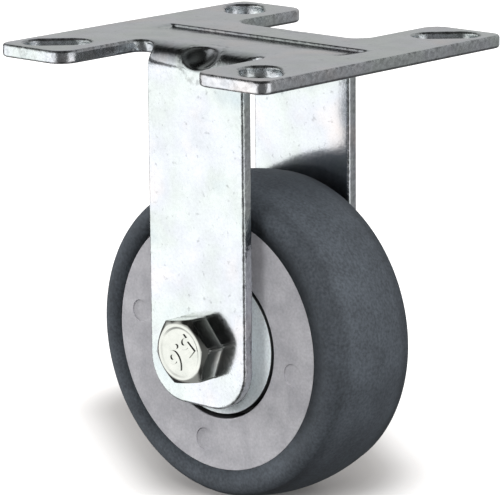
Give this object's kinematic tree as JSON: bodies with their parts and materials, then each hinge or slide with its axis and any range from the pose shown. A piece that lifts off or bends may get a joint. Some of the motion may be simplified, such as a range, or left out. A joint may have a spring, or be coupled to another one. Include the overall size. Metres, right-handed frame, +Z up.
{
  "type": "fixed castor",
  "caption": "Fixed castor: a folded sheet-steel fork with an H-shaped plate and diagonal screw slots carries a rubber-tyred wheel on shielded ball bearings.",
  "frame": {"origin": "centre of the plate's upper face, which is the face that bolts up under the furniture", "axes": "+Z up out of the plate, +X the rolling direction, +Y along the axle with the bolt's head on the -Y side"},
  "size_m": [0.0556, 0.0564, 0.0729],
  "materials": {
    "zinc_plated_sheet": "satin bright zinc plating",
    "zinc_plated_fastener": "bright zinc plating",
    "steel_tube": "drawn tube",
    "nylon": "matte",
    "guard_plastic": "satin moulded",
    "tyre_rubber": "matte moulded",
    "core_plastic": "satin moulded",
    "bearing_steel": "ground",
    "shield_steel": "pressed sheet",
    "cage_plastic": "matte"
  },
  "bodies": {
    "fixed": {"fork": "zinc_plated_sheet", "axle_bolt": "zinc_plated_fastener", "axle_sleeve": "steel_tube", "lock_nut": "zinc_plated_fastener", "lock_nut_insert": "nylon", "thread_guard_bolt_side": "guard_plastic", "thread_guard_nut_side": "guard_plastic", "bearing_inner_ring_bolt_side": "bearing_steel", "bearing_inner_ring_nut_side": "bearing_steel"},
    "wheel": {"tyre": "tyre_rubber", "wheel_core": "core_plastic", "bearing_outer_ring_bolt_side": "bearing_steel", "bearing_outer_ring_nut_side": "bearing_steel", "bearing_inner_shield_bolt_side": "shield_steel", "bearing_outer_shield_bolt_side": "shield_steel", "bearing_inner_shield_nut_side": "shield_steel", "bearing_outer_shield_nut_side": "shield_steel"},
    "ball_train": {"bearing_balls_bolt_side": "bearing_steel", "bearing_balls_nut_side": "bearing_steel", "bearing_cage_bolt_side": "cage_plastic", "bearing_cage_nut_side": "cage_plastic"}
  },
  "joints": [
    {"name": "wheel_spin", "type": "hinge", "parent": "fixed", "child": "wheel", "pos_m": [0, 0, -0.047], "axis": [0, 1, 0], "continuous": true},
    {"name": "ball_train_spin", "type": "hinge", "parent": "fixed", "child": "ball_train", "pos_m": [0, 0, -0.047], "axis": [0, 1, 0], "continuous": true}
  ],
  "couplings": [
    {"joint": "ball_train_spin", "follows": "wheel_spin", "ratio": 0.6323}
  ]
}
